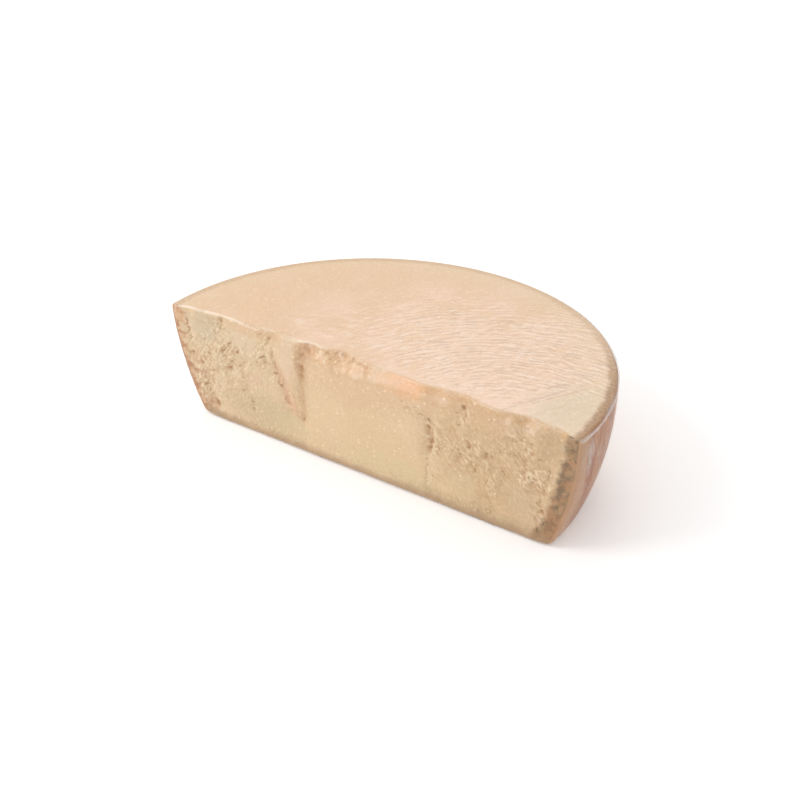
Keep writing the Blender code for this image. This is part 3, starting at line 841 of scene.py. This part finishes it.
def film_material(settings):
    """Clear gloss that clouds white where the film creases, with painted highlights and sheen on
    its side.
    """
    nodes = Nodes("clear_film")
    x, y, z = nodes.axes()
    level_x, level_y = x - AXIS.x, y - AXIS.y
    on_top = z.rise(HEIGHT - 0.0030, HEIGHT - 0.0010)
    creased = nodes.wrinkles(level_x, level_y) * on_top
    radius = (level_x * level_x + level_y * level_y).sqrt()
    on_side = radius.rise(RIM_RADIUS - 0.034, RIM_RADIUS - 0.022) * (1.0 - on_top)
    on_side = on_side * level_y.rise(-0.010, 0.002)
    streaks = nodes.noise(0.012, 4.0, nodes.round_side(level_x, level_y, z * 0.22))
    waver = nodes.noise(0.035, 2.0) * 0.014
    right_end = level_x.rise(0.10, 0.15)
    # A painted highlight in a line down the side near the cut's right corner.
    from_fold = (y - (LOW.y + 0.021) + waver).math("ABSOLUTE")
    fold = from_fold.rise(0.0011, 0.0002) * right_end
    # Painted glints of the film in upright streaks on the round side.
    streaked = on_side * streaks.rise(0.06, 0.26) * (level_y.rise(0.14, 0.06) * 0.10 + 0.06)
    # Whitening at creases and wrinkle crests, partly real and partly painted highlight.
    haze_and_glint = nodes.attribute("haze_and_glint") * 0.46 + (creased * 4.0).rise(0.1, 1.0) * 0.08
    haze_and_glint = haze_and_glint + fold * (1.0 - on_top) * 0.16 + streaked
    # A torn patch of painted sheen on the side at the right end.
    torn = nodes.noise(0.0045, 3.0, stretch=(1.0, 1.0, 3.5), turn=(18.0, 0.0, 0.0))
    cloudy = nodes.ellipse(y, z, (LOW.y + 0.025, 0.090), (0.013, 0.022)) + torn * 4.0
    haze_and_glint = haze_and_glint + cloudy.rise(1.1, 0.0) * right_end * (1.0 - on_top) * 0.20
    uneven = nodes.noise(0.010, 2.0) * (1.0 - on_top)
    ripple = creased * 1.1 + uneven * 0.8 + streaks * on_side * 0.8
    normal = nodes.bump(ripple, 0.0010)
    gloss = nodes.add("ShaderNodeBsdfGlossy", None, {
        "Color": (1.0, 1.0, 1.0, 1.0), "Roughness": settings.roughness, "Normal": normal})
    cloud_and_glint = nodes.add("ShaderNodeBsdfDiffuse", None, {"Color": settings.cloud_and_glint, "Normal": normal})
    clear = nodes.add("ShaderNodeBsdfTransparent")
    shown = nodes.add("ShaderNodeMixShader", None, {
        0: haze_and_glint + LEAST_HAZE, 1: clear.outputs[0], 2: cloud_and_glint.outputs[0]})
    slant = nodes.add("ShaderNodeLayerWeight", None, {"Blend": 0.5, "Normal": normal})
    slanted = nodes.number(slant.outputs["Facing"]).math("POWER", 5.0)
    mirror = slanted * MIRROR_SLANT + MIRROR_STRAIGHT
    surface = nodes.add("ShaderNodeMixShader", None, {
        0: mirror, 1: shown.outputs[0], 2: gloss.outputs[0]})
    return nodes.finish(surface.outputs[0])


class CHEESE_OT_grating_cheese(bpy.types.Operator):
    """Model the cheese itself, with its broken cut and its rind"""

    bl_idname = "cheese.grating_cheese"
    bl_label = "Grating cheese"

    def execute(self, context):
        settings = context.scene.grating_cheese
        cheese = smooth_form("grating_cheese")
        apply_modifier(cheese, "DISPLACE", strength=-settings.film_gap, mid_level=0.0)
        break_cut(cheese, settings)
        cheese.data.materials.append(cheese_material(settings))
        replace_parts(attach(cheese, "root"), SEALED)
        return {"FINISHED"}


class CHEESE_OT_clear_film(bpy.types.Operator):
    """Model the clear film that the cheese is sealed in"""

    bl_idname = "cheese.clear_film"
    bl_label = "Clear film"

    def execute(self, context):
        settings = context.scene.clear_film
        film = smooth_form("clear_film")
        apply_modifier(film, "REMESH", mode="VOXEL", voxel_size=settings.mesh_size,
                       use_smooth_shade=True)
        apply_modifier(film, "SMOOTH", factor=0.5, iterations=3)
        shape_film(film, settings)
        apply_modifier(film, "SHRINKWRAP", target=bpy.data.objects["grating_cheese"],
                       wrap_method="NEAREST_SURFACEPOINT", wrap_mode="OUTSIDE",
                       offset=settings.stand_off)
        film.data.materials.append(film_material(settings))
        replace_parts(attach(film, "root"), SEALED)
        return {"FINISHED"}


class CHEESE_OT_pale_studio(bpy.types.Operator):
    """Set up the pale floor, the soft lights and the camera"""

    bl_idname = "cheese.pale_studio"
    bl_label = "Pale studio"

    def execute(self, context):
        settings = context.scene.pale_studio
        deselect_all()
        bpy.ops.mesh.primitive_plane_add(size=FLOOR_SIZE, location=(0.0, 0.0, -FLOOR_GAP))
        floor = context.object
        floor.name = "floor"
        floor.data.transform(floor.matrix_world)
        floor.matrix_world.identity()
        nodes = Nodes("pale_floor")
        shader = nodes.add("ShaderNodeBsdfPrincipled", None, {
            "Base Color": settings.floor, "Roughness": 0.9, "Specular IOR Level": 0.1,
            "Emission Color": (1.0, 1.0, 1.0, 1.0), "Emission Strength": FLOOR_GLOW})
        floor.data.materials.append(nodes.finish(shader.outputs[0]))

        world = bpy.data.worlds.new("soft_sky")
        world.use_nodes = True
        sky = world.node_tree.nodes["Background"]
        sky.inputs["Color"].default_value = (1.0, 1.0, 1.0, 1.0)
        sky.inputs["Strength"].default_value = settings.sky
        context.scene.world = world
        self.add_lamp("key_lamp", settings.key, *KEY_LAMP)
        self.add_lamp("back_lamp", settings.back, *BACK_LAMP)

        view = Vector((math.sin(settings.azimuth) * math.cos(settings.elevation),
                       -math.cos(settings.azimuth) * math.cos(settings.elevation),
                       math.sin(settings.elevation)))
        bpy.ops.object.camera_add(location=AXIS + CAMERA_TARGET + settings.distance * view)
        camera = context.object
        camera.name = "camera"
        camera.rotation_euler = view.to_track_quat("Z", "Y").to_euler()
        camera.data.lens = settings.lens
        camera.data.sensor_width = 36.0
        context.scene.camera = camera
        context.scene.view_settings.view_transform = "Standard"
        return {"FINISHED"}

    def add_lamp(self, name, power, size, place):
        """Add a soft square lamp that faces the piece."""
        bpy.ops.object.light_add(type="AREA", location=place)
        lamp = bpy.context.object
        lamp.name = name
        lamp.data.energy = power
        lamp.data.size = size
        lamp.rotation_euler = Vector(place).to_track_quat("Z", "Y").to_euler()


class CHEESE_PT_panel(bpy.types.Panel):
    """The steps, in the order in which they are run"""

    bl_label = "Cheese"
    bl_idname = "CHEESE_PT_panel"
    bl_space_type = "VIEW_3D"
    bl_region_type = "UI"
    bl_category = "Cheese"

    def draw(self, context):
        for step in STEPS:
            self.layout.operator(step.bl_idname)


STEPS = (CHEESE_OT_grating_cheese, CHEESE_OT_clear_film, CHEESE_OT_pale_studio)
SETTINGS = {
    "grating_cheese": GratingCheeseSettings,
    "clear_film": ClearFilmSettings,
    "pale_studio": PaleStudioSettings,
}


def register():
    for group in (*SETTINGS.values(), *STEPS, CHEESE_PT_panel):
        bpy.utils.register_class(group)
    for name, group in SETTINGS.items():
        setattr(bpy.types.Scene, name, bpy.props.PointerProperty(type=group))


def unregister():
    for name in SETTINGS:
        delattr(bpy.types.Scene, name)
    for group in (CHEESE_PT_panel, *reversed(STEPS), *SETTINGS.values()):
        bpy.utils.unregister_class(group)


def main():
    """Run every step."""
    register()
    for step in STEPS:
        group, name = step.bl_idname.split(".")
        getattr(getattr(bpy.ops, group), name)()


if __name__ == "__main__":
    main()
